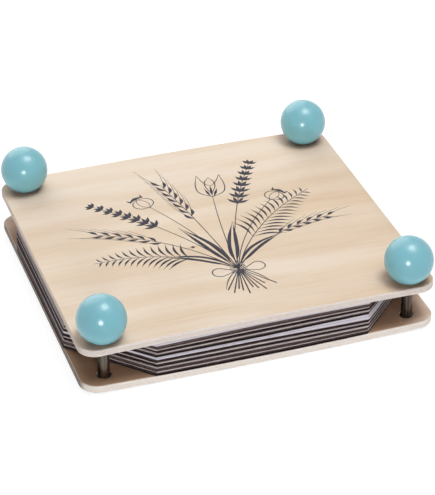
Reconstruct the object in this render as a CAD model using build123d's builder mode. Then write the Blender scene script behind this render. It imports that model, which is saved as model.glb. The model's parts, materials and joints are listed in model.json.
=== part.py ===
from build123d import *
import os

# Flower press: a stack of corrugated cards and blotting sheets between two plywood boards. Four bolts stand in
# the bottom board, and four painted wooden ball knobs screw down on them and press the top board on the stack.
# Millimetres, +Z up, +X along the long side, origin under the middle of the bottom board.

# Boards
board_width = 186.0
board_depth = 170.0
board_thickness = 4.0
board_corner_radius = 9.5
board_edge_break = 0.5

# Bolts: flat countersunk, each with a nib under its head that bites into the board and keeps it from turning
bolt_diameter = 6.0
bolt_inset_x = 13.0
bolt_inset_y = 9.5
bolt_hole_clearance = 0.3
bolt_head_diameter = 12.0
bolt_head_rim = 0.3
bolt_head_recess = 0.2
bolt_tip_chamfer = 0.8
nib_width = 1.6
nib_reach = 5.0
nib_rise = 2.0
thread_engagement = 13.8

# Cards and blotting sheets, with their corners cut off to clear the bolts
sheet_margin = 0.5
sheet_corner_cut = 37.0
card_thickness = 1.6
card_liner = 0.25
flute_pitch = 4.0
flute_wall = 0.2
blotter_thickness = 0.4
blotters_on_card = (2, 2, 2, 4, 2, 2, 2)

# Knobs and the threaded inserts in them
ball_diameter = 25.0
ball_seat_diameter = 12.0
insert_diameter = 9.0
insert_length = 12.0
thread_clearance = 0.05
bolt_tip_room = 1.2

# Worked out from the sizes above
card_count = len(blotters_on_card)
stack_height = card_count * card_thickness + sum(blotters_on_card) * blotter_thickness
top_board_z = board_thickness + stack_height
knob_seat_z = top_board_z + board_thickness

bolt_radius = bolt_diameter / 2
bolt_head_radius = bolt_head_diameter / 2
bolt_spacing_x = board_width - 2 * bolt_inset_x
bolt_spacing_y = board_depth - 2 * bolt_inset_y
bolt_tip_z = knob_seat_z + thread_engagement
head_cone_z = bolt_head_recess + bolt_head_rim

sheet_width = board_width - 2 * sheet_margin
sheet_depth = board_depth - 2 * sheet_margin

corners = {
    "front_left": (-bolt_spacing_x / 2, -bolt_spacing_y / 2),
    "front_right": (bolt_spacing_x / 2, -bolt_spacing_y / 2),
    "back_left": (-bolt_spacing_x / 2, bolt_spacing_y / 2),
    "back_right": (bolt_spacing_x / 2, bolt_spacing_y / 2),
}

os.makedirs("parts", exist_ok=True)


def save(piece, name):
    """Label a finished piece and write it under its own name."""
    piece.label = name
    export_step(piece, f"parts/{name}.step")


def board_outline():
    """The plan of a board: a rectangle with rounded corners."""
    RectangleRounded(board_width, board_depth, board_corner_radius)


def sheet_outline():
    """The plan of a card or a blotting sheet: flush with the boards, its corners cut off."""
    outline = Rectangle(sheet_width, sheet_depth)
    chamfer(outline.vertices(), sheet_corner_cut)


def nib(mode):
    """The nib at the middle of a bolt, from the axis out through the cone of the head."""
    with Locations((0, 0, head_cone_z)):
        Box(nib_reach, nib_width, nib_rise, align=(Align.MIN, Align.CENTER, Align.MIN), mode=mode)


# Bottom board: countersunk from below, so that the bolt heads lie under the face it rests on
with BuildPart() as bottom_board:
    with BuildSketch():
        board_outline()
    extrude(amount=board_thickness)
    rims = bottom_board.edges().group_by(Axis.Z)
    chamfer(rims[0] + rims[-1], board_edge_break)
    with Locations(bottom_board.faces().sort_by(Axis.Z)[0]):
        with GridLocations(bolt_spacing_x, bolt_spacing_y, 2, 2):
            CounterSinkHole(bolt_radius + bolt_hole_clearance, bolt_head_radius + head_cone_z, counter_sink_angle=90)
    with GridLocations(bolt_spacing_x, bolt_spacing_y, 2, 2):
        nib(Mode.SUBTRACT)
save(bottom_board.part, "bottom_board")

# Top board: slides on the bolts
with BuildPart() as top_board:
    with BuildSketch(Plane.XY.offset(top_board_z)):
        board_outline()
    extrude(amount=board_thickness)
    rims = top_board.edges().group_by(Axis.Z)
    chamfer(rims[0] + rims[-1], board_edge_break)
    with Locations(top_board.faces().sort_by(Axis.Z)[-1]):
        with GridLocations(bolt_spacing_x, bolt_spacing_y, 2, 2):
            Hole(bolt_radius + bolt_hole_clearance)
save(top_board.part, "top_board")

# Bolts: a flat countersunk head, a plain shank through the boards and a chamfered tip inside the knob
with BuildPart() as bolt:
    with BuildSketch(Plane.XZ):
        with BuildLine():
            Polyline(
                (0, bolt_head_recess),
                (bolt_head_radius, bolt_head_recess),
                (bolt_head_radius, head_cone_z),
                (bolt_radius, head_cone_z + bolt_head_radius - bolt_radius),
                (bolt_radius, bolt_tip_z - bolt_tip_chamfer),
                (bolt_radius - bolt_tip_chamfer, bolt_tip_z),
                (0, bolt_tip_z),
                close=True,
            )
        make_face()
    revolve(axis=Axis.Z)
    nib(Mode.ADD)
for place, (x, y) in corners.items():
    save(bolt.part.moved(Location((x, y, 0))), f"bolt_{place}")

# Corrugated card: two liners with a zigzag wall between them. The flutes run along X, and the front edge is cut
# along the middle of a flute, so that the slot between the liners shows there.
flute_height = card_thickness - 2 * card_liner
flute_slope = (flute_height**2 + (flute_pitch / 2) ** 2) ** 0.5
wall_across = flute_wall * flute_slope / flute_height
flute_half_width = (flute_pitch - wall_across) / 2
flute_depth = flute_height * 2 * flute_half_width / flute_pitch
flute_count = int(sheet_depth / flute_pitch) + 2
flute_row = (flute_count - 1) * flute_pitch / 2
with BuildPart() as card:
    with BuildSketch(Plane.YZ.offset(-sheet_width / 2)):
        Rectangle(sheet_depth, card_thickness)
        for side, shift in ((1, 0), (-1, flute_pitch / 2)):
            base = side * flute_height / 2
            with Locations((flute_row - sheet_depth / 2 - shift, base)):
                with GridLocations(flute_pitch, 0, flute_count, 1):
                    flute = [(-flute_half_width, 0), (flute_half_width, 0), (0, -side * flute_depth)]
                    Polygon(*flute, align=None, mode=Mode.SUBTRACT)
    extrude(amount=sheet_width)
    with BuildSketch(Plane.XY.offset(-card_thickness / 2)):
        sheet_outline()
    extrude(amount=card_thickness, mode=Mode.INTERSECT)

# Blotting sheet
with BuildPart() as blotter:
    with BuildSketch():
        sheet_outline()
    extrude(amount=blotter_thickness)

# The stack: a card, then its blotting sheets, and so on upwards. Cards lie either way up and either way round.
level = board_thickness
for index, blotter_count in enumerate(blotters_on_card):
    turned = (180 * (index % 2), 0, 180 * (index // 2 % 2))
    save(card.part.moved(Location((0, 0, level + card_thickness / 2), turned)), f"card_{index + 1}")
    level += card_thickness
    for letter in "abcd"[:blotter_count]:
        save(blotter.part.moved(Location((0, 0, level))), f"blotter_{index + 1}{letter}")
        level += blotter_thickness

# Ball knob: a ball with a flat seat, bored from below for its insert and for the bolt's tip
ball_radius = ball_diameter / 2
seat_radius = ball_seat_diameter / 2
insert_radius = insert_diameter / 2
thread_radius = bolt_radius + thread_clearance
ball_centre = (ball_radius**2 - seat_radius**2) ** 0.5
bore_top = max(insert_length, thread_engagement) + bolt_tip_room
with BuildPart() as knob:
    with BuildSketch(Plane.XZ):
        with BuildLine():
            Polyline((insert_radius, 0), (seat_radius, 0))
            ThreePointArc((seat_radius, 0), (ball_radius, ball_centre), (0, ball_centre + ball_radius))
            Polyline(
                (0, ball_centre + ball_radius),
                (0, bore_top),
                (thread_radius, bore_top),
                (thread_radius, insert_length),
                (insert_radius, insert_length),
                (insert_radius, 0),
            )
        make_face()
    revolve(axis=Axis.Z)

# Threaded insert: a brass sleeve pressed into the knob, flush with its seat
with BuildPart() as insert:
    with BuildSketch(Plane.XZ):
        with BuildLine():
            Polyline(
                (thread_radius, 0),
                (insert_radius, 0),
                (insert_radius, insert_length),
                (thread_radius, insert_length),
                close=True,
            )
        make_face()
    revolve(axis=Axis.Z)

for place, (x, y) in corners.items():
    seat = Location((x, y, knob_seat_z))
    save(knob.part.moved(seat), f"knob_{place}")
    save(insert.part.moved(seat), f"insert_{place}")
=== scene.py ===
import bpy
import json
import math
import random
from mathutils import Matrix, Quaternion, Vector

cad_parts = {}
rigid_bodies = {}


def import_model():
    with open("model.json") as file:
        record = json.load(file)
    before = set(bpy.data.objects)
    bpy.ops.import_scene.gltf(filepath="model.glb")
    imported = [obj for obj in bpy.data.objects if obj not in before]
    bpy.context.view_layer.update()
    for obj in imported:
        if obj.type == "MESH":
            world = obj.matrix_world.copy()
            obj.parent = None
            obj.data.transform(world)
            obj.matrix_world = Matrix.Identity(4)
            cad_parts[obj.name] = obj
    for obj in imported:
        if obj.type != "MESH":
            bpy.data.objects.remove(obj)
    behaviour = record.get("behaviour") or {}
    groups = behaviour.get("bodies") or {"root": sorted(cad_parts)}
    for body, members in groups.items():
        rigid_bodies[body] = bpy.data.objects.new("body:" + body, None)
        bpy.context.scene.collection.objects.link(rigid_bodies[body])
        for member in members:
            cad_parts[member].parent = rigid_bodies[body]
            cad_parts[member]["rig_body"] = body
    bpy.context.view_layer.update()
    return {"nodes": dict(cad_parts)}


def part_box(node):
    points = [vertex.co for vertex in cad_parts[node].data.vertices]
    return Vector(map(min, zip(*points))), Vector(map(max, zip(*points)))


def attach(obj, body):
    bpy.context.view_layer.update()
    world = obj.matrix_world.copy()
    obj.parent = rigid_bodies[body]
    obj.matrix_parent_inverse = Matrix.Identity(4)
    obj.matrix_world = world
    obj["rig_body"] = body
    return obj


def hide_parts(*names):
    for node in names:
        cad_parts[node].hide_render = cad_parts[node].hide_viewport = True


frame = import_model()


# Bottom board
# Three-ply plywood, sawn to a rounded rectangle and sanded round at its rims. Its edges are painted
# lighter than the top board's and its cut ends near black as painted shade, and its inside veneer is
# darkened as painted shade of the gap.
# It lies on the table, the bolts stand in its countersunk holes, and the clamped stack bows it down.
corner_radius = 0.0095
corner_steps = 12
rim_round = 0.0007
rim_steps = 3
hole_radius = 0.0033
hole_rim_break = 0.0006
hole_steps = 48
countersink_radius = 0.0065
cutter_room = 0.001
dot = 0.001
weld = 0.000002
bow_columns = 32
bow_down = 0.0011
bow_up = 0.0008
flat_enough = 0.99
smooth_angle = math.radians(35)
bolt_places = ("front_left", "front_right", "back_left", "back_right")
base_low, base_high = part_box("bottom_board")
lid_low, lid_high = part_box("top_board")
bolt_boxes = {place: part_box(f"bolt_{place}") for place in bolt_places}
bolt_axes = {place: (low + high) / 2 for place, (low, high) in bolt_boxes.items()}
bolt_reach = bolt_axes["front_right"].x


def select_only(*objects):
    """Select these objects and nothing else, the last one active."""
    bpy.ops.object.select_all(action="DESELECT")
    for obj in objects:
        obj.select_set(True)
    bpy.context.view_layer.objects.active = objects[-1]


def pick(obj, kind, test):
    """Go into edit mode with just those edges or faces selected that pass the test."""
    select_only(obj)
    bpy.ops.object.mode_set(mode="EDIT")
    bpy.ops.mesh.select_mode(type=kind)
    bpy.ops.mesh.select_all(action="DESELECT")
    bpy.ops.object.mode_set(mode="OBJECT")
    for element in obj.data.edges if kind == "EDGE" else obj.data.polygons:
        element.select = test(element)
    bpy.ops.object.mode_set(mode="EDIT")


def named(name):
    """The object just added, with its place put into its mesh, under its own name."""
    obj = bpy.context.object
    obj.name = obj.data.name = name
    bpy.ops.object.transform_apply(location=True, rotation=True, scale=True)
    return obj


def finish_with(obj, kind, **settings):
    """Add a modifier with these settings and apply it."""
    select_only(obj)
    modifier = obj.modifiers.new(kind.title(), kind)
    for setting, value in settings.items():
        setattr(modifier, setting, value)
    bpy.ops.object.modifier_apply(modifier=modifier.name)


def half_outline(name, points):
    """A line through (radius, height) points beside the Z axis, drawn by extruding one vertex."""
    bpy.ops.object.select_all(action="DESELECT")
    bpy.ops.mesh.primitive_plane_add(size=dot, location=(points[0][0], 0, points[0][1]))
    obj = named(name)
    bpy.ops.object.mode_set(mode="EDIT")
    bpy.ops.mesh.select_mode(type="VERT")
    bpy.ops.mesh.select_all(action="SELECT")
    bpy.ops.mesh.merge(type="CENTER")
    for (r0, z0), (r1, z1) in zip(points, points[1:]):
        bpy.ops.mesh.extrude_region_move(TRANSFORM_OT_translate={"value": (r1 - r0, 0, z1 - z0)})
    bpy.ops.object.mode_set(mode="OBJECT")
    return obj


def turned(name, outline, steps, axis=(0, 0, 0)):
    """A closed turned piece: its half outline spun about an upright axis."""
    obj = half_outline(name, outline)
    bpy.ops.object.mode_set(mode="EDIT")
    bpy.ops.mesh.select_all(action="SELECT")
    bpy.ops.mesh.spin(steps=steps, angle=2 * math.pi, center=(0, 0, 0), axis=(0, 0, 1))
    bpy.ops.mesh.select_all(action="SELECT")
    bpy.ops.mesh.remove_doubles(threshold=weld)
    bpy.ops.mesh.normals_make_consistent(inside=False)
    bpy.ops.object.mode_set(mode="OBJECT")
    obj.location = (axis[0], axis[1], 0)
    bpy.ops.object.transform_apply(location=True, rotation=True, scale=True)
    return obj


def bow(obj):
    """Bend a finished piece with the clamped boards: none at the bolts, most halfway between them."""
    for vertex in obj.data.vertices:
        share = (vertex.co.z - base_high.z) / (lid_low.z - base_high.z)
        share = min(max(share, 0), 1)
        along = 1 - (vertex.co.x / bolt_reach) ** 2
        vertex.co.z += along * (share * (bow_up + bow_down) - bow_down)


def board(name, node, hole_outline, inward, plywood, painted_shade_veneer):
    """A plywood board in the place of a node, with a hole of that outline round each bolt. On the side
    that faces the stack, which is inward, 1 for up or -1 for down, it wears a veneer darkened as painted
    shade."""
    low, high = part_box(node)
    thickness = high.z - low.z
    bpy.ops.object.select_all(action="DESELECT")
    bpy.ops.mesh.primitive_cube_add(size=1, location=(low + high) / 2, scale=high - low)
    obj = named(name)

    def upright(edge):
        a, b = (obj.data.vertices[i].co for i in edge.vertices)
        return abs(a.z - b.z) > thickness / 2

    def level(edge):
        return not upright(edge)

    for edges, offset, segments in ((upright, corner_radius, corner_steps), (level, rim_round, rim_steps)):
        pick(obj, "EDGE", edges)
        bpy.ops.mesh.bevel(offset=offset, segments=segments, affect="EDGES")
        bpy.ops.object.mode_set(mode="OBJECT")
    for axis in bolt_axes.values():
        cutter = turned("hole", hole_outline, hole_steps, axis)
        finish_with(obj, "BOOLEAN", object=cutter, operation="DIFFERENCE", solver="EXACT")
        bpy.data.objects.remove(cutter)
    bpy.ops.object.mode_set(mode="EDIT")
    for column in range(1, bow_columns):
        x = low.x + (high.x - low.x) * column / bow_columns
        bpy.ops.mesh.select_all(action="SELECT")
        bpy.ops.mesh.bisect(plane_co=(x, 0, 0), plane_no=(1, 0, 0), threshold=weld)
    bpy.ops.object.mode_set(mode="OBJECT")
    bpy.ops.object.shade_smooth_by_angle(angle=smooth_angle)
    ply = obj.data.attributes.new("ply", "FLOAT", "POINT")
    ply.data.foreach_set("value", [(vertex.co.z - low.z) / thickness for vertex in obj.data.vertices])
    bow(obj)
    for material in (plywood, painted_shade_veneer):
        obj.data.materials.append(material)
    for face in obj.data.polygons:
        face.material_index = int(face.normal.z * inward > flat_enough)
    return obj


def fill(tree, socket, value):
    """Give an input its value: a link from another socket, or a number, vector or colour of its own."""
    if isinstance(value, bpy.types.NodeSocket):
        tree.links.new(value, socket)
    elif socket.type == "RGBA":
        socket.default_value = (*value, 1)
    else:
        socket.default_value = value


def add_node(tree, kind, inputs=None, **settings):
    """A node of a material or group, with its settings, and its inputs by their names or numbers."""
    item = tree.nodes.new("ShaderNode" + kind)
    for setting, value in settings.items():
        setattr(item, setting, value)
    for socket, value in (inputs or {}).items():
        fill(tree, item.inputs[socket], value)
    return item


def add_group(name, inputs, outputs):
    """An empty node group with these named sockets, and the sockets inside it that they lead to."""
    group = bpy.data.node_groups.new(name, "ShaderNodeTree")
    for side, sockets in (("INPUT", inputs), ("OUTPUT", outputs)):
        for socket, kind in sockets.items():
            group.interface.new_socket(socket, in_out=side, socket_type="NodeSocket" + kind)
    return group, group.nodes.new("NodeGroupInput").outputs, group.nodes.new("NodeGroupOutput").inputs


def use_group(tree, group, inputs):
    """A node group placed in a material or in another group with its own values, and its outputs."""
    return add_node(tree, "Group", inputs, node_tree=group).outputs


def sum_of(tree, operation, *values):
    """One sum on values that are numbers or sockets."""
    return add_node(tree, "Math", dict(enumerate(values)), operation=operation).outputs[0]


def mapped(tree, value, **limits):
    """A value mapped from one range to another, as 0 to 1 where no limit is given."""
    inputs = {limit.replace("_", " ").title(): number for limit, number in limits.items()}
    return add_node(tree, "MapRange", {"Value": value, **inputs}).outputs[0]


def mixed(tree, blend, factor, first, second):
    """Two colours mixed by a factor."""
    inputs = {0: factor, 6: first, 7: second}
    return add_node(tree, "Mix", inputs, data_type="RGBA", blend_type=blend).outputs[2]


def ramp(tree, factor, *stops):
    """A colour ramp on a value, with stops of place and colour."""
    item = add_node(tree, "ValToRGB", {"Fac": factor})
    elements = item.color_ramp.elements
    while len(elements) < len(stops):
        elements.new(0.5)
    for element, (place, colour) in zip(elements, stops):
        element.position = place
        element.color = (*colour, 1)
    return item.outputs["Color"]


def new_material(name):
    """A new material, its node tree and its Principled BSDF."""
    material = bpy.data.materials.new(name)
    material.use_nodes = True
    return material, material.node_tree, material.node_tree.nodes["Principled BSDF"]


def bumped(tree, shader, height, strength, distance):
    """Give a shader a bump from a height."""
    bump = add_node(tree, "Bump", {"Height": height, "Strength": strength, "Distance": distance})
    fill(tree, shader.inputs["Normal"], bump.outputs["Normal"])


def stretched_place(tree, stretch):
    """Object coordinates, stretched by a scale for each axis."""
    place = add_node(tree, "TexCoord").outputs["Object"]
    return add_node(tree, "Mapping", {"Vector": place, "Scale": stretch}).outputs[0]


# Grain: noise on stretched Object coordinates
grain_group, given, result = add_group(
    "stretched_grain", {"Stretch": "Vector", "Detail": "Float", "Roughness": "Float"}, {"Grain": "Float"}
)
noise = {
    "Vector": stretched_place(grain_group, given["Stretch"]),
    "Scale": 1.0,
    "Detail": given["Detail"],
    "Roughness": given["Roughness"],
}
fill(grain_group, result["Grain"], add_node(grain_group, "TexNoise", noise).outputs["Fac"])


def grain(tree, stretch, detail, roughness):
    """The grain group with its own stretch."""
    inputs = {"Stretch": stretch, "Detail": detail, "Roughness": roughness}
    return use_group(tree, grain_group, inputs)["Grain"]


# Stain: a colour darkened by another by way of a mask, in full at one value of it and not at all at another
stain_group, given, result = add_group(
    "stain",
    {"Color": "Color", "Stain": "Color", "Mask": "Float", "Full": "Float", "None": "Float"},
    {"Color": "Color"},
)
strength = mapped(
    stain_group, given["Mask"], from_min=given["Full"], from_max=given["None"], to_min=1.0, to_max=0.0
)
fill(stain_group, result["Color"], mixed(stain_group, "MULTIPLY", strength, given["Color"], given["Stain"]))


def stained(tree, colour, stain, mask, full, none):
    """The stain group on a colour."""
    inputs = {"Color": colour, "Stain": stain, "Mask": mask, "Full": full, "None": none}
    return use_group(tree, stain_group, inputs)["Color"]


# Veneer: a sheet of wood in one tone, with wavy growth lines, broad figure, fine streaks along X, finer
# fibres and soft clouds
veneer_group, given, result = add_group("veneer", {"Tone": "Color"}, {"Color": "Color", "Fibres": "Float"})
figure = grain(veneer_group, (3.0, 46.0, 60.0), detail=3.0, roughness=0.5)
streaks = grain(veneer_group, (9.0, 210.0, 210.0), detail=5.0, roughness=0.62)
fibres = grain(veneer_group, (40.0, 1500.0, 1500.0), detail=4.0, roughness=0.6)
clouds = grain(veneer_group, (9.0, 24.0, 40.0), detail=3.0, roughness=0.5)
wave = {
    "Vector": stretched_place(veneer_group, (7.0, 13.0, 13.0)),
    "Scale": 1.0,
    "Distortion": 9.0,
    "Detail": 2.0,
    "Detail Scale": 0.7,
}
growth = add_node(veneer_group, "TexWave", wave, bands_direction="Y").outputs["Fac"]
wood = given["Tone"]
for mask, stain, full, none in (
    (growth, (0.962, 0.929, 0.884), 0.10, 0.75),
    (figure, (0.96, 0.93, 0.88), 0.30, 0.65),
    (streaks, (0.955, 0.92, 0.875), 0.28, 0.52),
    (fibres, (0.95, 0.93, 0.90), 0.30, 0.55),
    (clouds, (0.93, 0.895, 0.86), 0.35, 0.62),
):
    wood = stained(veneer_group, wood, stain, mask, full, none)
fill(veneer_group, result["Color"], wood)
fill(veneer_group, result["Fibres"], fibres)
veneer_smoothest = 0.5
veneer_fibre_roughness = 0.2


def veneer(tree, shader, tone):
    """Give a shader the roughness and bump of a veneer, and hand back its colour."""
    sheet = use_group(tree, veneer_group, {"Tone": tone})
    rough = sum_of(tree, "MULTIPLY_ADD", sheet["Fibres"], veneer_fibre_roughness, veneer_smoothest)
    fill(tree, shader.inputs["Roughness"], rough)
    shader.inputs["Specular IOR Level"].default_value = 0.25
    bumped(tree, shader, sheet["Fibres"], strength=0.2, distance=0.0001)
    return sheet["Color"]


def spot(tree, centre, radii):
    """How far a point is from a place, in shares of the three radii of a spot there."""
    scale = tuple(1 / radius for radius in radii)
    shift = tuple(-place * share for place, share in zip(centre, scale))
    place = add_node(tree, "TexCoord").outputs["Object"]
    mapping = add_node(tree, "Mapping", {"Vector": place, "Location": shift, "Scale": scale})
    return add_node(tree, "VectorMath", {0: mapping.outputs[0]}, operation="LENGTH").outputs["Value"]


outer_ply = 0.325
glue_fade = 0.025
glue_line = (0.70, 0.61, 0.54)


def plies(tree, outer, core):
    """The three plies on an edge of a board, with the glue lines between them."""
    height = add_node(tree, "Attribute", attribute_name="ply").outputs["Fac"]
    low_half = (
        (0.0, outer), (outer_ply - glue_fade, outer), (outer_ply, glue_line), (outer_ply + glue_fade, core),
    )
    top_half = tuple((1 - place, colour) for place, colour in reversed(low_half))
    return ramp(tree, height, *low_half, *top_half)


face_tone = (0.920, 0.800, 0.672)
brown_centre = (0.093, -0.050, 0.0)
brown_radii = (0.11, 0.16, 0.11)
brown_stain = (0.93, 0.885, 0.84)
knot_centre = (-0.0136, -0.0132, lid_high.z + bow_up)
knot_streak_radii = (0.0070, 0.0011, 0.002)
knot_streak = (0.80, 0.70, 0.62)
knot_core_radii = (0.0012, 0.0013, 0.002)
knot_core = (0.16, 0.11, 0.09)

# The lean from which a surface counts as a face, and the turns between which the cut ends darken, as end
# grain and, on the bottom board, as painted shade
face_lean = 0.85
side_turn = 0.65
end_turn = 0.20


def sanded_plywood(name, outer, core, end_grain_and_painted_shade):
    """Plywood in its face veneer with a pin knot, and on its edges the plies, darker where cut across
    as end grain, and as painted shade where the end tone is deep.
    """
    material, tree, shader = new_material(name)
    face = veneer(tree, shader, face_tone)
    for centre, radii, stain, full in (
        (brown_centre, brown_radii, brown_stain, 0.1),
        (knot_centre, knot_streak_radii, knot_streak, 0.0),
        (knot_centre, knot_core_radii, knot_core, 0.6),
    ):
        face = stained(tree, face, stain, spot(tree, centre, radii), full, none=1.0)
    normal = add_node(tree, "SeparateXYZ", {0: add_node(tree, "NewGeometry").outputs["Normal"]}).outputs
    lean_x, lean_y, lean_z = (sum_of(tree, "ABSOLUTE", normal[axis]) for axis in "XYZ")
    turn = sum_of(tree, "ARCTAN2", lean_y, lean_x)
    at_end = mapped(tree, turn, from_min=side_turn, from_max=end_turn)
    on_face = sum_of(tree, "GREATER_THAN", lean_z, face_lean)
    edge = mixed(tree, "MULTIPLY", at_end, plies(tree, outer, core), end_grain_and_painted_shade)
    pores = grain(tree, (700.0, 700.0, 1500.0), detail=2.0, roughness=0.6)
    edge = stained(tree, edge, (0.93, 0.90, 0.87), pores, full=0.30, none=0.52)
    fill(tree, shader.inputs["Base Color"], mixed(tree, "MIX", on_face, edge, face))
    return material


# Painted light and shade: the edges are paler than the top board's, and the cut ends are near black
low_plywood = sanded_plywood(
    "low_plywood", outer=(0.97, 0.90, 0.84), core=(0.94, 0.86, 0.79), end_grain_and_painted_shade=(0.27, 0.25, 0.245)
)
# Painted shade in the gap, with painted light at two corners that stay pale
painted_light_corners = ((-0.092, 0.082, 0.0), (0.093, -0.078, 0.0))
painted_light_radii = (0.020, 0.020, 1.0)
gap_painted_shade = (0.63, 0.53, 0.44)


def painted_shade_inner_face(name, unstained_tone):
    """The veneer on the side of a board that faces the stack, stained brown as painted shade of the gap,
    except at two bare corners, left pale as painted light.
    """
    material, tree, shader = new_material(name)
    near = sum_of(tree, "MINIMUM", *(spot(tree, corner, painted_light_radii) for corner in painted_light_corners))
    face = stained(tree, veneer(tree, shader, unstained_tone), gap_painted_shade, near, full=1.0, none=0.4)
    fill(tree, shader.inputs["Base Color"], face)
    return material


low_inner_shaded = painted_shade_inner_face("low_inner_veneer_painted_shade", (0.95, 0.755, 0.625))
countersink = [
    (0.0, base_low.z - cutter_room),
    (countersink_radius + cutter_room, base_low.z - cutter_room),
    (hole_radius, base_low.z + countersink_radius - hole_radius),
    (hole_radius, base_high.z - hole_rim_break),
    (hole_radius + hole_rim_break + cutter_room, base_high.z + cutter_room),
    (0.0, base_high.z + cutter_room),
]
bottom = board("plywood_bottom", "bottom_board", countersink, 1, low_plywood, low_inner_shaded)
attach(bottom, "base")
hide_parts("bottom_board")


# Bolts
# Plain steel bolts with a flat countersunk head that lies in the bottom board. A short neck fills the mouth
# of the hole, the shank above it is smooth, and the upper part carries the rolled thread for the knobs.
thread_pitch = 0.001
thread_depth = 0.0006
thread_start = 0.018
thread_steps = 36
spare_turns = 2
tip_chamfer = 0.0008
head_rim = 0.0003
neck_radius = 0.0032
neck_rise = 0.0002
shank_radius = 0.0030
core_radius = shank_radius - thread_depth
bolt_steps = 48
bolt_low, bolt_high = bolt_boxes["front_left"]
head_radius = bolt_axes["front_left"].y - bolt_low.y
thread_end = bolt_high.z - tip_chamfer
steel_smoothest = 0.2
steel_turned_roughness = 0.16

steel, tree, shader = new_material("bolt_steel_painted_shade")
turning = grain(tree, (60.0, 60.0, 9000.0), detail=3.0, roughness=0.6)
drawn = grain(tree, (620.0, 620.0, 12.0), detail=2.0, roughness=0.5)
# Painted shade: the steel is toned near black, for the dark gap that it stands in and reflects
tone = ramp(tree, drawn, (0.42, (0.040, 0.029, 0.022)), (0.62, (0.155, 0.128, 0.108)))
fill(tree, shader.inputs["Base Color"], tone)
rough = sum_of(tree, "MULTIPLY_ADD", turning, steel_turned_roughness, steel_smoothest)
fill(tree, shader.inputs["Roughness"], rough)
shader.inputs["Metallic"].default_value = 1.0
bumped(tree, shader, turning, strength=0.08, distance=0.00005)

shank = [
    (0.0, bolt_low.z),
    (head_radius, bolt_low.z),
    (head_radius, bolt_low.z + head_rim),
    (neck_radius, bolt_low.z + head_rim + head_radius - neck_radius),
    (neck_radius, base_high.z + neck_rise / 2),
    (shank_radius, base_high.z + neck_rise),
    (shank_radius, thread_start - thread_depth),
    (core_radius, thread_start),
    (0.0, thread_start),
]
bolt = turned("master_bolt", shank, bolt_steps)

# One turn of the thread: its root, flanks and crest at shares of the pitch
thread_profile = (
    (core_radius, 0.0),
    (core_radius, 0.125),
    (shank_radius, 0.4375),
    (shank_radius, 0.5625),
    (core_radius, 0.875),
    (core_radius, 1.0),
)
thread = half_outline("thread", [(radius, share * thread_pitch) for radius, share in thread_profile])
turns = math.ceil((thread_end - thread_start) / thread_pitch) + spare_turns
finish_with(
    thread, "SCREW", axis="Z", angle=2 * math.pi, screw_offset=thread_pitch, iterations=turns,
    steps=thread_steps, render_steps=thread_steps,
)
thread.location.z = thread_start - spare_turns * thread_pitch
bpy.ops.object.transform_apply(location=True, rotation=True, scale=True)
bpy.ops.object.mode_set(mode="EDIT")
bpy.ops.mesh.select_all(action="SELECT")
bpy.ops.mesh.remove_doubles(threshold=weld)
for height, side in ((thread_start - thread_depth / 2, -1), (thread_end, 1)):
    bpy.ops.mesh.select_all(action="SELECT")
    bpy.ops.mesh.bisect(
        plane_co=(0, 0, height), plane_no=(0, 0, side), threshold=weld, use_fill=True, clear_outer=True,
    )
bpy.ops.object.mode_set(mode="OBJECT")
pick(thread, "FACE", lambda face: face.center.z > thread_end - weld / 2)
bpy.ops.mesh.extrude_region_move(TRANSFORM_OT_translate={"value": (0, 0, tip_chamfer)})
narrowed = 1 - tip_chamfer / shank_radius
bpy.ops.transform.resize(value=(narrowed, narrowed, 1), center_override=(0, 0, 0))
bpy.ops.mesh.select_all(action="SELECT")
bpy.ops.mesh.normals_make_consistent(inside=False)
bpy.ops.object.mode_set(mode="OBJECT")
finish_with(bolt, "BOOLEAN", object=thread, operation="UNION", solver="EXACT")
bpy.ops.object.shade_smooth_by_angle(angle=smooth_angle)
bpy.data.objects.remove(thread)
bolt.data.materials.append(steel)


def copied(master, name, place, turn=(0, 0, 0)):
    """A copy of a master piece with a mesh of its own, turned and set in its place."""
    obj = master.copy()
    obj.data = master.data.copy()
    obj.name = obj.data.name = name
    bpy.context.collection.objects.link(obj)
    obj.location = place
    obj.rotation_euler = turn
    select_only(obj)
    bpy.ops.object.transform_apply(location=True, rotation=True, scale=True)
    return obj


for place, axis in bolt_axes.items():
    obj = copied(bolt, f"steel_bolt_{place}", (axis.x, axis.y, 0))
    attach(obj, "base")
    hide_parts(f"bolt_{place}")
bpy.data.objects.remove(bolt)


# Corrugated cards
# Seven sheets of brown corrugated card, each a wavy paper glued between two flat liners, with flutes along
# its length that are open at the sides and cut corners. They lie loose in a leaning, unevenly thick stack.
cards = [f"card_{number}" for number in range(1, 8)]
light_cards = ("card_2", "card_7")
corner_cut = 0.037
liner = 0.00025
flute_pitch = 0.0040
flute_paper = 0.0002
flute_points = 10
sheet_columns = 24
loose_shift = 0.00035
loose_turn = math.radians(0.25)
lean_left = 0.0004
lean_right = 0.0005
swell_top = 0.0007
swell_down = 0.0006
swell_up = 0.0008
swell_reach = 0.048
swell_most = 1.5
card_low, card_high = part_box(cards[0])
card_size = card_high - card_low
chance = random.Random(4)


def flat_sheet(name, size, rows, height):
    """A sheet with no thickness yet, divided along its length so that it can bow, and in rows across it."""
    bpy.ops.object.select_all(action="DESELECT")
    bpy.ops.mesh.primitive_grid_add(
        x_subdivisions=sheet_columns, y_subdivisions=rows, size=1, location=(0, 0, height)
    )
    bpy.context.object.scale = (size.x, size.y, 1)
    return named(name)


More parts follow.
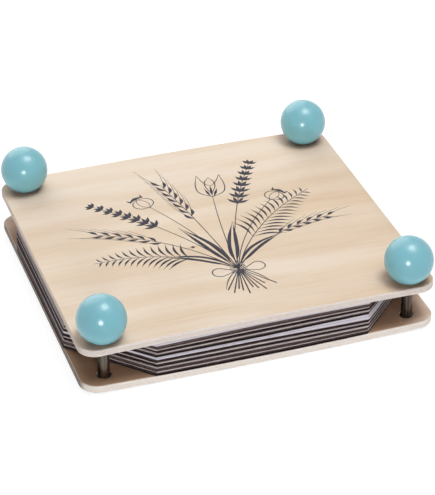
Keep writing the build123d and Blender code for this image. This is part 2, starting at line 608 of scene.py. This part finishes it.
def cut_corners(obj, size):
    """Cut the four corners of a sheet off at 45 degrees and close the cuts."""
    select_only(obj)
    bpy.ops.object.mode_set(mode="EDIT")
    for side_x in (-1, 1):
        for side_y in (-1, 1):
            point = (side_x * (size.x / 2 - corner_cut), side_y * size.y / 2, 0)
            bpy.ops.mesh.select_all(action="SELECT")
            bpy.ops.mesh.bisect(
                plane_co=point, plane_no=(side_x, side_y, 0), threshold=weld,
                use_fill=True, clear_outer=True,
            )
    bpy.ops.object.mode_set(mode="OBJECT")


card = flat_sheet("master_card", card_size, int(card_size.y / flute_pitch * flute_points), 0)
flute_rise = (card_size.z - 2 * liner - flute_paper) / 2
for vertex in card.data.vertices:
    vertex.co.z = flute_rise * math.cos(2 * math.pi * (vertex.co.y + card_size.y / 2) / flute_pitch)
finish_with(card, "SOLIDIFY", thickness=flute_paper, offset=0)
liners = []
for side in (-1, 1):
    liners.append(flat_sheet("liner", card_size, 1, side * (card_size.z - liner) / 2))
    finish_with(liners[-1], "SOLIDIFY", thickness=liner, offset=0)
select_only(*liners, card)
bpy.ops.object.join()
cut_corners(card, card_size)
bpy.ops.object.shade_smooth_by_angle(angle=smooth_angle)


def kraft(name, dark, light):
    """Brown kraft paper between two tones, with flecks in it."""
    material, tree, shader = new_material(name)
    mottle = grain(tree, (260.0, 260.0, 900.0), detail=4.0, roughness=0.6)
    flecks = grain(tree, (1500.0, 2600.0, 2600.0), detail=2.0, roughness=0.5)
    brown = ramp(tree, mottle, (0.3, dark), (0.7, light))
    brown = stained(tree, brown, (0.70, 0.66, 0.62), flecks, full=0.35, none=0.55)
    fill(tree, shader.inputs["Base Color"], brown)
    shader.inputs["Roughness"].default_value = 0.85
    shader.inputs["Specular IOR Level"].default_value = 0.2
    bumped(tree, shader, flecks, strength=0.3, distance=0.0001)
    return material


# Painted shade: the dark cards are toned far below kraft's own brown, for the shade in the open flutes
kraft_in_painted_shade = kraft("dark_kraft_card_painted_shade", dark=(0.060, 0.040, 0.040), light=(0.105, 0.075, 0.072))
light_kraft = kraft("light_kraft_card", dark=(0.150, 0.106, 0.098), light=(0.245, 0.182, 0.168))


def settle(obj):
    """Press a sheet into the uneven stack, whose middle papers are thick at the right and whose top papers
    are thick at the left. They squeeze the sheets over and under them."""
    middle_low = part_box("blotter_4a")[0].z
    middle_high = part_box("card_5")[0].z
    top_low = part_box("blotter_7a")[0].z
    levels = (base_high.z, middle_low, middle_high, top_low, lid_low.z)
    for vertex in obj.data.vertices:
        right = min(max(vertex.co.x / swell_reach, 0), swell_most)
        left = min(max(-vertex.co.x / swell_reach, 0), swell_most)
        moves = (0, -right * swell_down, right * swell_up, -left * swell_top, 0)
        height = min(max(vertex.co.z, base_high.z), lid_low.z)
        for low, high, low_move, high_move in zip(levels, levels[1:], moves, moves[1:]):
            if height <= high:
                vertex.co.z += low_move + (high_move - low_move) * (height - low) / (high - low)
                break


def laid(master, name, node, turn=(0, 0, 0)):
    """A copy of a master sheet in a node's place, a little askew as loose sheets lie, in a stack that leans
    from left below to right above, and bowed with the boards."""
    low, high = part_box(node)
    shift = Vector((
        chance.uniform(-loose_shift, loose_shift),
        chance.uniform(-loose_shift, loose_shift),
        0,
    ))
    share = (low.z - base_high.z) / (lid_low.z - base_high.z)
    shift.x += share * lean_right - (1 - share) * lean_left
    askew = (turn[0], turn[1], turn[2] + chance.uniform(-loose_turn, loose_turn))
    obj = copied(master, name, (low + high) / 2 + shift, askew)
    settle(obj)
    bow(obj)
    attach(obj, frame["nodes"][node]["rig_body"])
    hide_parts(node)
    return obj


for index, node in enumerate(cards):
    over_and_round = (math.pi * (index % 2), 0, math.pi * (index // 2 % 2))
    obj = laid(card, f"corrugated_{node}", node, over_and_round)
    obj.data.materials.append(light_kraft if node in light_cards else kraft_in_painted_shade)
bpy.data.objects.remove(card)


# Blotting sheets
# Pale blotting paper, a pair on each card and four on the middle one, with the flowers' places between each
# pair. They are cut to the same outline as the cards and lie loose between them.
blotters = sorted(node for node in frame["nodes"] if node.startswith("blotter_"))
white_layers = ("blotter_4", "blotter_7")
sheet_rows = 4
blotter_low, blotter_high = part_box(blotters[0])
blotter_size = blotter_high - blotter_low
page = flat_sheet("master_page", blotter_size, sheet_rows, 0)
finish_with(page, "SOLIDIFY", thickness=blotter_size.z, offset=0)
cut_corners(page, blotter_size)


def paper(name, dark, light):
    """Soft paper between two tones, with fuzz on it."""
    material, tree, shader = new_material(name)
    pulp = grain(tree, (180.0, 180.0, 600.0), detail=4.0, roughness=0.65)
    fuzz = grain(tree, (2600.0, 2600.0, 2600.0), detail=2.0, roughness=0.6)
    tone = ramp(tree, pulp, (0.3, dark), (0.7, light))
    tone = stained(tree, tone, (0.84, 0.82, 0.82), fuzz, full=0.30, none=0.55)
    fill(tree, shader.inputs["Base Color"], tone)
    shader.inputs["Roughness"].default_value = 0.9
    shader.inputs["Specular IOR Level"].default_value = 0.2
    bumped(tree, shader, fuzz, strength=0.3, distance=0.00008)
    return material


grey_paper = paper("grey_blotting_paper", dark=(0.52, 0.46, 0.465), light=(0.69, 0.615, 0.62))
white_paper = paper("white_blotting_paper", dark=(0.70, 0.67, 0.73), light=(0.82, 0.79, 0.86))
for node in blotters:
    obj = laid(page, f"paper_{node}", node)
    obj.data.materials.append(white_paper if node.startswith(white_layers) else grey_paper)
bpy.data.objects.remove(page)


# Top board
# The same plywood as the bottom board, with four plain holes that slide on the bolts. Its edge tones
# differ from the bottom board's only as painted light and shade, and its inner veneer is darkened
# further as painted shade of the gap. The knobs press it down at its corners, so the stack bows it up
# between them.
top_plywood = sanded_plywood(
    "top_plywood", outer=(0.85, 0.765, 0.715), core=(0.81, 0.72, 0.67), end_grain_and_painted_shade=(0.83, 0.77, 0.72)
)
# Its unstained inner tone is dark already: painted shade that keeps the gap dark
top_inner_shaded = painted_shade_inner_face("top_inner_veneer_painted_shade", (0.43, 0.34, 0.284))
plain_hole = [
    (0.0, lid_low.z - cutter_room),
    (hole_radius + hole_rim_break + cutter_room, lid_low.z - cutter_room),
    (hole_radius, lid_low.z + hole_rim_break),
    (hole_radius, lid_high.z + cutter_room),
    (0.0, lid_high.z + cutter_room),
]
top = board("plywood_top", "top_board", plain_hole, -1, top_plywood, top_inner_shaded)
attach(top, "lid")
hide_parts("top_board")


# Printed design
# A tied bunch of field plants, drawn in pen strokes and screen printed in one dark ink on the top board.
# The heads fan out to the back and the cut stems to the front. Leans are in degrees to the right.
ferns = ((-67, 0.074, 13), (44, 0.088, 14))
lavenders = ((-33, 0.098, 8), (22, 0.106, 8))
grasses = ((-47, 0.080, 12), (-8, 0.092, 13), (61, 0.070, 11))
seed_heads = ((-19, 0.076, 0.0052), (33, 0.070, 0.0047))
tulips = ((8, 0.072, 0.0125),)
broad_leaves = ((-20, 0.050, 0.0062), (15, 0.046, 0.0058), (52, 0.042, 0.0050), (-56, 0.040, 0.0048))
pen = 0.00022
ink_height = 0.00004
tie_place = Vector((0.002, -0.040))
stem_bend = 0.4
stem_parts = 4
tail_length = 0.021
tail_spread = 0.55
tail_uneven = 0.12
tail_wave = 9

drawing = bpy.data.curves.new("printed_design", "CURVE")
drawing.dimensions = "3D"
drawing.bevel_depth = pen
drawing.bevel_resolution = 1
drawing.resolution_u = 6
drawing.use_fill_caps = True


def heading(angle):
    """A step of one unit on the board, at an angle to the right of straight back."""
    return Vector((math.sin(angle), math.cos(angle)))


def stroke(points, start, middle, end):
    """A pen stroke through points, with its width at its start, middle and end in widths of the pen."""
    spline = drawing.splines.new("BEZIER")
    spline.radius_interpolation = "EASE"
    spline.bezier_points.add(len(points) - 1)
    for index, (knot, point) in enumerate(zip(spline.bezier_points, points)):
        share = 2 * index / (len(points) - 1)
        knot.co = (point.x, point.y, 0)
        knot.handle_left_type = knot.handle_right_type = "AUTO"
        if share < 1:
            knot.radius = start + (middle - start) * share
        else:
            knot.radius = middle + (end - middle) * (share - 1)


def blade(foot, angle, length, width, bulge=0.0):
    """A pointed leaf, bud or grain in one swelling stroke, bent aside by a share of its length."""
    tip = foot + heading(angle) * length
    middle = (foot + tip) / 2 + heading(angle + math.pi / 2) * length * bulge
    stroke([foot, middle, tip], 0.5, width, 0.3)


def stem_point(lean, length, share):
    """A place on a stem that leaves the tie at a lean and bends further outwards."""
    return tie_place + heading(lean * (1 - stem_bend + stem_bend * share)) * length * share


def stem_angle(lean, length, share, step=0.01):
    """The direction of a stem at a place on it."""
    ahead = stem_point(lean, length, share + step) - stem_point(lean, length, share - step)
    return math.atan2(ahead.x, ahead.y)


def stem(lean, length):
    """A stem from the tie to its head, and its cut end on the other side of the tie."""
    points = [stem_point(lean, length, part / stem_parts) for part in range(stem_parts + 1)]
    stroke(points, 1.3, 1.1, 0.8)
    tail = tail_length * (1 + tail_uneven * math.sin(tail_wave * lean))
    stroke([tie_place, tie_place - heading(lean * tail_spread) * tail], 1.3, 1.5, 1.7)


def fern(lean, length, pairs):
    """A frond: leaflets in pairs that shorten to its tip."""
    bare = 0.36
    leafy = 0.63
    spread = math.radians(58)
    stem(lean, length)
    for pair in range(pairs):
        share = bare + leafy * pair / pairs
        foot, angle = stem_point(lean, length, share), stem_angle(lean, length, share)
        reach = length * (0.035 + 0.24 * (1 - share) ** 0.75)
        width = 3.4 * (1.15 - 0.5 * share)
        for side in (-1, 1):
            blade(foot, angle + side * spread, reach, width, bulge=-side * 0.10)


def lavender(lean, length, whorls):
    """A spike of solid buds in whorls."""
    bare = 0.60
    spread = math.radians(52)
    stem(lean, length)
    for whorl in range(whorls):
        share = bare + (1 - bare) * whorl / (whorls - 1)
        foot, angle = stem_point(lean, length, share), stem_angle(lean, length, share)
        bud = length * (0.075 - 0.030 * whorl / whorls)
        for side in (-1, -0.4, 0.4, 1):
            blade(foot, angle + side * spread, bud, width=4.2)


def grass(lean, length, grains):
    """An ear of solid grains on alternate sides, each with a fine awn."""
    bare = 0.58
    grain_spread = math.radians(24)
    awn_spread = math.radians(15)
    stem(lean, length)
    for number in range(grains):
        side = 1 if number % 2 else -1
        share = bare + (1 - bare) * number / (grains - 1)
        foot, angle = stem_point(lean, length, share), stem_angle(lean, length, share)
        blade(foot, angle + side * grain_spread, length * 0.085, width=4.4, bulge=side * 0.08)
        blade(foot, angle + side * awn_spread, length * 0.24, width=0.6, bulge=side * 0.05)


def seed_head(lean, length, radius):
    """A round seed capsule in outline, with ribs and a solid crown."""
    stem(lean, length)
    foot, angle = stem_point(lean, length, 1), stem_angle(lean, length, 1)
    ahead, aside = heading(angle) * radius, heading(angle + math.pi / 2) * radius
    crown = foot + ahead * 2.1
    for rib, width in ((-1, 1.4), (-0.4, 0.7), (0.4, 0.7), (1, 1.4)):
        low, high = (foot + ahead * share + aside * rib for share in (0.6, 1.5))
        stroke([foot, low, high, crown], 0.9, width, 0.9)
    stroke([crown - aside * 0.9, crown + ahead * 0.25, crown + aside * 0.9], 2.2, 4.6, 2.2)
    for point in (-0.8, 0, 0.8):
        blade(crown + aside * point * 0.9, angle + point * 0.5, radius * 0.6, width=2.4)


def tulip(lean, length, cup):
    """A cup of three petals in outline over a solid heart."""
    stem(lean, length)
    foot, angle = stem_point(lean, length, 1), stem_angle(lean, length, 1)
    ahead, right = heading(angle) * cup, heading(angle + math.pi / 2) * cup
    for side in (-1, 1):
        aside = right * side
        belly = foot + ahead * 0.75 + aside * 0.62
        tip = foot + ahead * 1.85 + aside * 0.50
        inner = foot + ahead * 1.15 + aside * 0.22
        stroke([foot, foot + (belly - foot) * 0.5 + aside * 0.20, belly, tip], 1.0, 1.7, 0.7)
        stroke([tip, inner, foot + ahead * 0.9], 0.7, 1.2, 0.6)
        stroke([foot + ahead * 0.2, inner, foot + ahead * 1.65], 0.8, 1.4, 0.6)
        blade(foot + aside * 0.06, angle + side * 0.30, cup * 0.75, width=3.2)
    blade(foot, angle, cup, width=3.0)


def broad_leaf(lean, length, width):
    """A long solid leaf in two halves, with the bare wood left as its midrib."""
    foot, tip = (stem_point(lean, length, share) for share in (0.12, 1))
    aside = heading(stem_angle(lean, length, 0.6) + math.pi / 2) * (pen * 1.2 + width / 4)
    for side in (-1, 1):
        half = [stem_point(lean, length, share) + aside * side for share in (0.35, 0.6)]
        stroke([foot, *half, tip], 0.6, width / 4 / pen, 0.2)


for draw, plants in (
    (fern, ferns),
    (lavender, lavenders),
    (grass, grasses),
    (seed_head, seed_heads),
    (tulip, tulips),
    (broad_leaf, broad_leaves),
):
    for lean, length, detail in plants:
        draw(math.radians(lean), length, detail)

# The cord that ties the bunch: five wraps, and a bow with its two loops and ends
wraps = 5
wrap_step = 0.0012
wrap_steps = ((-0.0042, -0.0006), (0, -0.0014), (0.0042, 0.0006))
loop_steps = ((0.004, 0), (0.012, 0.003), (0.013, -0.003), (0, -0.001))
end_steps = ((0.002, -0.001), (0.008, -0.008), (0.012, -0.016))
for wrap in range(wraps):
    middle = tie_place + Vector((0, wrap_step * (wrap - wraps // 2)))
    stroke([middle + Vector(step) for step in wrap_steps], 1.2, 1.6, 1.2)
for side in (-1, 1):
    stroke([tie_place + Vector((side * x, y)) for x, y in loop_steps], 1.2, 1.6, 1.0)
    stroke([tie_place + Vector((side * x, y)) for x, y in end_steps], 1.2, 1.5, 0.5)

design = bpy.data.objects.new("printed_design", drawing)
bpy.context.collection.objects.link(design)
select_only(design)
bpy.ops.object.convert(target="MESH")
design = bpy.context.object
bpy.ops.object.mode_set(mode="EDIT")
bpy.ops.mesh.select_all(action="SELECT")
bpy.ops.mesh.remove_doubles(threshold=weld)
bpy.ops.mesh.normals_make_consistent(inside=False)
bpy.ops.object.mode_set(mode="OBJECT")
for vertex in design.data.vertices:
    vertex.co.z = lid_high.z + ink_height * (1 + min(max(vertex.co.z / pen, -1), 1)) / 2
bow(design)

ink, tree, shader = new_material("printing_ink")
patchy = grain(tree, (500.0, 700.0, 500.0), detail=4.0, roughness=0.65)
tone = ramp(tree, patchy, (0.35, (0.036, 0.034, 0.046)), (0.65, (0.058, 0.054, 0.068)))
fill(tree, shader.inputs["Base Color"], tone)
shader.inputs["Roughness"].default_value = 0.65
shader.inputs["Specular IOR Level"].default_value = 0.2
bumped(tree, shader, patchy, strength=0.2, distance=0.00002)
design.data.materials.append(ink)
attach(design, "lid")


# Ball knobs and their inserts
# Turned wooden balls dipped in pale teal lacquer, each with a threaded brass insert pressed into its flat
# seat. They screw down on the bolts. Their solids are right as they are and only take their finish here.
lacquer, tree, shader = new_material("teal_lacquer")
cloudy = grain(tree, (60.0, 60.0, 60.0), detail=3.0, roughness=0.5)
peel = grain(tree, (700.0, 700.0, 700.0), detail=2.0, roughness=0.5)
teal = ramp(tree, cloudy, (0.3, (0.194, 0.502, 0.578)), (0.7, (0.214, 0.524, 0.606)))

# Painted shade: to light that bounces, the balls are near black, so they send no teal light back to
# the wood and the shadows under them stay dark and brown
bounced = add_node(tree, "LightPath").outputs["Is Diffuse Ray"]
bounce_painted_shade = (0.02, 0.017, 0.014)
fill(tree, shader.inputs["Base Color"], mixed(tree, "MIX", bounced, teal, bounce_painted_shade))
shader.inputs["Roughness"].default_value = 0.22
shader.inputs["Specular IOR Level"].default_value = 0.6
bumped(tree, shader, peel, strength=0.03, distance=0.0002)

brass, tree, shader = new_material("brass_insert")
turning = grain(tree, (200.0, 200.0, 6000.0), detail=3.0, roughness=0.6)
tone = ramp(tree, turning, (0.3, (0.55, 0.40, 0.16)), (0.7, (0.72, 0.56, 0.27)))
fill(tree, shader.inputs["Base Color"], tone)
shader.inputs["Metallic"].default_value = 1.0
shader.inputs["Roughness"].default_value = 0.3
bumped(tree, shader, turning, strength=0.1, distance=0.00005)

for place in bolt_places:
    for node, material in ((f"knob_{place}", lacquer), (f"insert_{place}", brass)):
        slots = frame["nodes"][node].data.materials
        slots.clear()
        slots.append(material)


# Floor, light and camera
# A white table in a white room. A broad lamp with soft edges hangs overhead and a soft one stands behind, a
# small one in front gives only glints, and two low ones light the edges and give none. The camera stands
# where the photo was taken from.
floor_size = 4.0
floor_tone = 0.85
shadow_tone = 0.3
near_glow = 0.86
near_reach = 0.4
far_reach = 1.4
ambient = 0.03
overhead_discs = ((0.7, 9.0), (1.3, 7.0), (1.9, 6.5))
camera_place = Vector((-0.28941, -0.88251, 0.60399))
camera_target = Vector((0.00145, -0.00806, 0.02000))
camera_roll = math.radians(0.43)
camera_lens = 152.4
sensor_width = 36.0

bpy.ops.object.select_all(action="DESELECT")
bpy.ops.mesh.primitive_plane_add(size=floor_size, location=(0, 0, base_low.z - bow_down))
floor = named("floor")


def seen_white(tree):
    """A mask of the rays that see the background: the camera's, and those that gloss and glass send on."""
    rays = add_node(tree, "LightPath").outputs
    seen = sum_of(tree, "MAXIMUM", rays["Is Camera Ray"], rays["Is Glossy Ray"])
    return sum_of(tree, "MAXIMUM", seen, rays["Is Transmission Ray"])


# The table lights the object as a plain pale floor. Seen, it glows to white, a little less near the object,
# and keeps the object's shadow
table, tree, shader = new_material("white_table")
shader.inputs["Base Color"].default_value = (floor_tone, floor_tone, floor_tone, 1)
shader.inputs["Roughness"].default_value = 0.9
shader.inputs["Specular IOR Level"].default_value = 0.0
away = spot(tree, (0, 0, 0), (1, 1, 1))
brightness = mapped(tree, away, from_min=near_reach, from_max=far_reach, to_min=near_glow)
glow = add_node(tree, "Emission", {"Strength": brightness})
shaded = add_node(tree, "BsdfDiffuse", {"Color": (shadow_tone, shadow_tone, shadow_tone)})
white = add_node(tree, "AddShader", {0: glow.outputs[0], 1: shaded.outputs[0]})
surface = add_node(tree, "MixShader", {0: seen_white(tree), 1: shader.outputs[0], 2: white.outputs[0]})
fill(tree, tree.nodes["Material Output"].inputs["Surface"], surface.outputs[0])
floor.data.materials.append(table)

world = bpy.data.worlds.new("white_room")
bpy.context.scene.world = world
world.use_nodes = True
tree = world.node_tree
sky = tree.nodes["Background"]
sky.inputs["Color"].default_value = (1, 1, 1, 1)
sky_strength = add_node(tree, "Mix", {0: seen_white(tree), 2: ambient, 3: 1.0})
fill(tree, sky.inputs["Strength"], sky_strength.outputs[0])


def lamp(name, place, target, size, watts):
    """A round lamp at a place, turned to a target."""
    bpy.ops.object.light_add(type="AREA", location=place)
    obj = bpy.context.object
    obj.name = obj.data.name = name
    obj.data.shape = "DISK"
    obj.data.size = size
    obj.data.energy = watts
    obj.rotation_euler = (Vector(target) - Vector(place)).to_track_quat("-Z", "Y").to_euler()
    return obj


for size, watts in overhead_discs:
    lamp("overhead_lamp", place=(0.30, -0.13, 1.50), target=(0, 0, 0), size=size, watts=watts)
lamp("back_lamp", place=(-0.15, 1.25, 0.84), target=(0, 0, 0.03), size=1.7, watts=10.0)
glint = lamp("front_lamp", place=(-0.37, -0.94, 0.32), target=(0, 0, 0.03), size=0.30, watts=4.4)
glint.visible_diffuse = False
low_fill = lamp("low_fill", place=(-0.35, -1.80, 0.15), target=(0, 0, 0.02), size=0.3, watts=13.0)
left_fill = lamp("left_fill", place=(-1.25, 0.45, 0.24), target=(0, 0, 0.02), size=0.4, watts=2.3)
low_fill.visible_glossy = left_fill.visible_glossy = False

camera_data = bpy.data.cameras.new("camera")
camera = bpy.data.objects.new("camera", camera_data)
bpy.context.collection.objects.link(camera)
camera_data.lens = camera_lens
camera_data.sensor_width = sensor_width
camera.location = camera_place
aim = (camera_target - camera_place).to_track_quat("-Z", "Y")
camera.rotation_euler = (aim @ Quaternion((0, 0, 1), -camera_roll)).to_euler()
bpy.context.scene.camera = camera
bpy.context.scene.view_settings.view_transform = "Standard"
